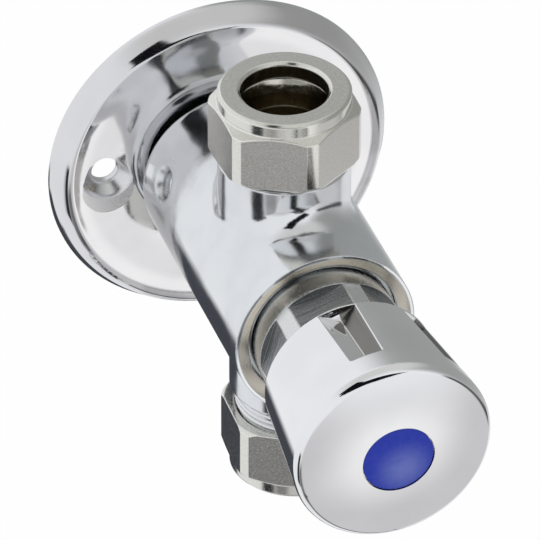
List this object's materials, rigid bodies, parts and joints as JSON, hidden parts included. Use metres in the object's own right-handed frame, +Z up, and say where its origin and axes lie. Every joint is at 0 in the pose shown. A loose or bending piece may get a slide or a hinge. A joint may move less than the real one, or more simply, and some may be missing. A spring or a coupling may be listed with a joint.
{
  "type": "timed flow control valve",
  "caption": "Wall-flanged timed flow control valve: push button and dashpot cartridge in a cross body with compression joints for vertical 15 mm pipe.",
  "frame": {"origin": "centre of the wall flange's back, on the wall plane and on the body axis", "axes": "+Y into the wall along the body axis, so the button faces -Y; +Z up along the pipe axis; +X to the right seen from the front"},
  "size_m": [0.0638, 0.0963, 0.0758],
  "materials": {
    "chrome_flange": "polished",
    "chrome_body": "polished",
    "chrome_button": "polished",
    "nickel_nut": "satin",
    "bright_olive": "polished",
    "brushed_head": "satin",
    "plain_brass": "satin",
    "steel_screw": "satin",
    "white_plastic": "satin",
    "black_rubber": "matte",
    "blue_indice": "gloss"
  },
  "bodies": {
    "valve": {"wall_flange": "chrome_flange", "flange_boss": "plain_brass", "valve_body": "chrome_body", "body_grub_screw": "steel_screw", "top_olive": "bright_olive", "bottom_olive": "bright_olive", "inlet_strainer": "steel_screw", "cartridge_housing": "brushed_head", "housing_seal": "black_rubber", "nose_seal": "black_rubber", "gland_bush": "plain_brass", "gland_seal": "black_rubber", "valve_seat": "steel_screw", "return_spring": "steel_screw"},
    "piston_set": {"piston": "white_plastic", "cup_seal": "black_rubber", "metering_pin": "steel_screw"},
    "button_set": {"spindle": "steel_screw", "push_button": "chrome_button", "button_screw": "steel_screw", "indice_disc": "blue_indice", "piston_clip": "steel_screw", "valve_washer": "black_rubber", "washer_plate": "plain_brass", "washer_nut": "plain_brass"},
    "upper_nut": {"top_nut": "nickel_nut"},
    "lower_nut": {"bottom_nut": "nickel_nut"}
  },
  "joints": [
    {"name": "button_press", "type": "slide", "parent": "valve", "child": "piston_set", "axis": [0, 1, 0], "range_m": [0, 0.0065], "stiffness_N_per_m": 1200, "springref_m": -0.01, "deforming": ["return_spring"]},
    {"name": "button_turn", "type": "hinge", "parent": "piston_set", "child": "button_set", "pos_m": [0, -0.084, 0], "axis": [0, 1, 0], "continuous": true},
    {"name": "top_nut_turn", "type": "hinge", "parent": "valve", "child": "upper_nut", "pos_m": [0, -0.0369, 0.0308], "axis": [0, 0, 1], "continuous": true},
    {"name": "bottom_nut_turn", "type": "hinge", "parent": "valve", "child": "lower_nut", "pos_m": [0, -0.0434, -0.0318], "axis": [0, 0, 1], "continuous": true}
  ]
}
